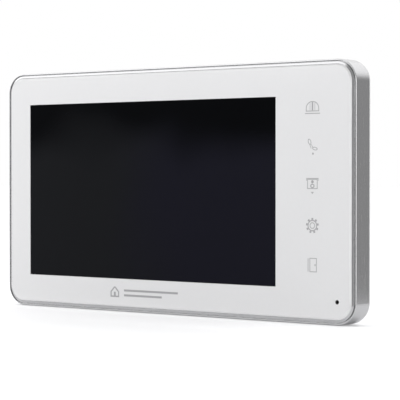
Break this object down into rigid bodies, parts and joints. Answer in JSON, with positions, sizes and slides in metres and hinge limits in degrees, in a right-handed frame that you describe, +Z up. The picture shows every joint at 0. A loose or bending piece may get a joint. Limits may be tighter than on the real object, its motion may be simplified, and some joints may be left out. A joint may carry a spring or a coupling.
{
  "type": "video intercom monitor",
  "caption": "Flat wall video intercom monitor: wide dark screen, white face with a column of touch keys, silver side band, rear terminal plugs and a steel hook bracket.",
  "frame": {"origin": "on the wall, at the middle of the bracket's back, which is also the middle of the monitor's outline", "axes": "+Z up, +X to the right of a person who faces the screen, +Y into the wall; the screen faces -Y"},
  "size_m": [0.2146, 0.0203, 0.119],
  "materials": {
    "white_panel": "glossy white front sheet",
    "smoked_window": "polished dark smoked acrylic",
    "bright_ring": "bright silver ring",
    "satin_silver": "satin silver band",
    "housing_plastic": "fine textured light grey moulding",
    "circuit_board": "green solder mask",
    "soft_rubber": "black moulded rubber",
    "foam": "black cut foam",
    "plain_steel": "plain tinned steel sheet",
    "zinc_steel": "zinc plated steel sheet",
    "screw_steel": "zinc plated screw",
    "screen_glass": "dark polished screen glass",
    "clear_plastic": "clear moulded plastic",
    "chip_resin": "black moulded resin",
    "capacitor_sleeve": "dark blue sleeve",
    "socket_plastic": "cream socket plastic",
    "ribbon_film": "amber polyimide film",
    "terminal_plastic": "green terminal plastic",
    "switch_plastic": "black switch knob",
    "painted_steel": "dark painted steel",
    "speaker_paper": "black speaker paper",
    "magnet": "dark sintered magnet",
    "label_film": "blank silver label film"
  },
  "bodies": {
    "bracket": {"wall_bracket": "zinc_steel"},
    "monitor": {"rear_housing": "housing_plastic", "side_frame": "satin_silver", "front_panel": "white_panel", "display_window": "smoked_window", "trim_ring": "bright_ring", "touch_key_board": "circuit_board", "key_led_1": "clear_plastic", "key_led_2": "clear_plastic", "key_led_3": "clear_plastic", "key_led_4": "clear_plastic", "key_led_5": "clear_plastic", "microphone_boot": "soft_rubber", "microphone": "plain_steel", "lcd_gasket": "foam", "lcd_frame": "plain_steel", "lcd_glass": "screen_glass", "lcd_light_guide": "clear_plastic", "lcd_bracket_left": "zinc_steel", "lcd_bracket_right": "zinc_steel", "lcd_bracket_screw_1": "screw_steel", "lcd_bracket_screw_2": "screw_steel", "lcd_bracket_screw_3": "screw_steel", "lcd_bracket_screw_4": "screw_steel", "main_board": "circuit_board", "board_screw_1": "screw_steel", "board_screw_2": "screw_steel", "board_screw_3": "screw_steel", "board_screw_4": "screw_steel", "processor": "chip_resin", "shield_can": "plain_steel", "inductor": "chip_resin", "capacitor_1": "capacitor_sleeve", "capacitor_2": "capacitor_sleeve", "lcd_connector": "socket_plastic", "lcd_ribbon": "ribbon_film", "key_connector": "socket_plastic", "key_ribbon": "ribbon_film", "terminal_header_door": "terminal_plastic", "terminal_header_power": "terminal_plastic", "switch_body": "plain_steel", "speaker_gasket": "foam", "speaker_basket": "painted_steel", "speaker_cone": "speaker_paper", "speaker_magnet": "magnet", "rating_label": "label_film", "housing_screw_1": "screw_steel", "housing_screw_2": "screw_steel", "housing_screw_3": "screw_steel", "housing_screw_4": "screw_steel"},
    "selector": {"switch_slider": "switch_plastic"},
    "door_plug": {"terminal_plug_door": "terminal_plastic", "clamp_screw_door_1": "screw_steel", "clamp_screw_door_2": "screw_steel", "clamp_screw_door_3": "screw_steel", "clamp_screw_door_4": "screw_steel"},
    "power_plug": {"terminal_plug_power": "terminal_plastic", "clamp_screw_power_1": "screw_steel", "clamp_screw_power_2": "screw_steel"}
  },
  "joints": [
    {"name": "monitor_lift", "type": "slide", "parent": "bracket", "child": "monitor", "axis": [0, 0, 1], "range_m": [0, 0.007]},
    {"name": "selector_slide", "type": "slide", "parent": "monitor", "child": "selector", "axis": [1, 0, 0], "range_m": [0, 0.002]},
    {"name": "door_plug_slide", "type": "slide", "parent": "monitor", "child": "door_plug", "axis": [1, 0, 0], "range_m": [0, 0.006]},
    {"name": "power_plug_slide", "type": "slide", "parent": "monitor", "child": "power_plug", "axis": [-1, 0, 0], "range_m": [0, 0.006]}
  ]
}
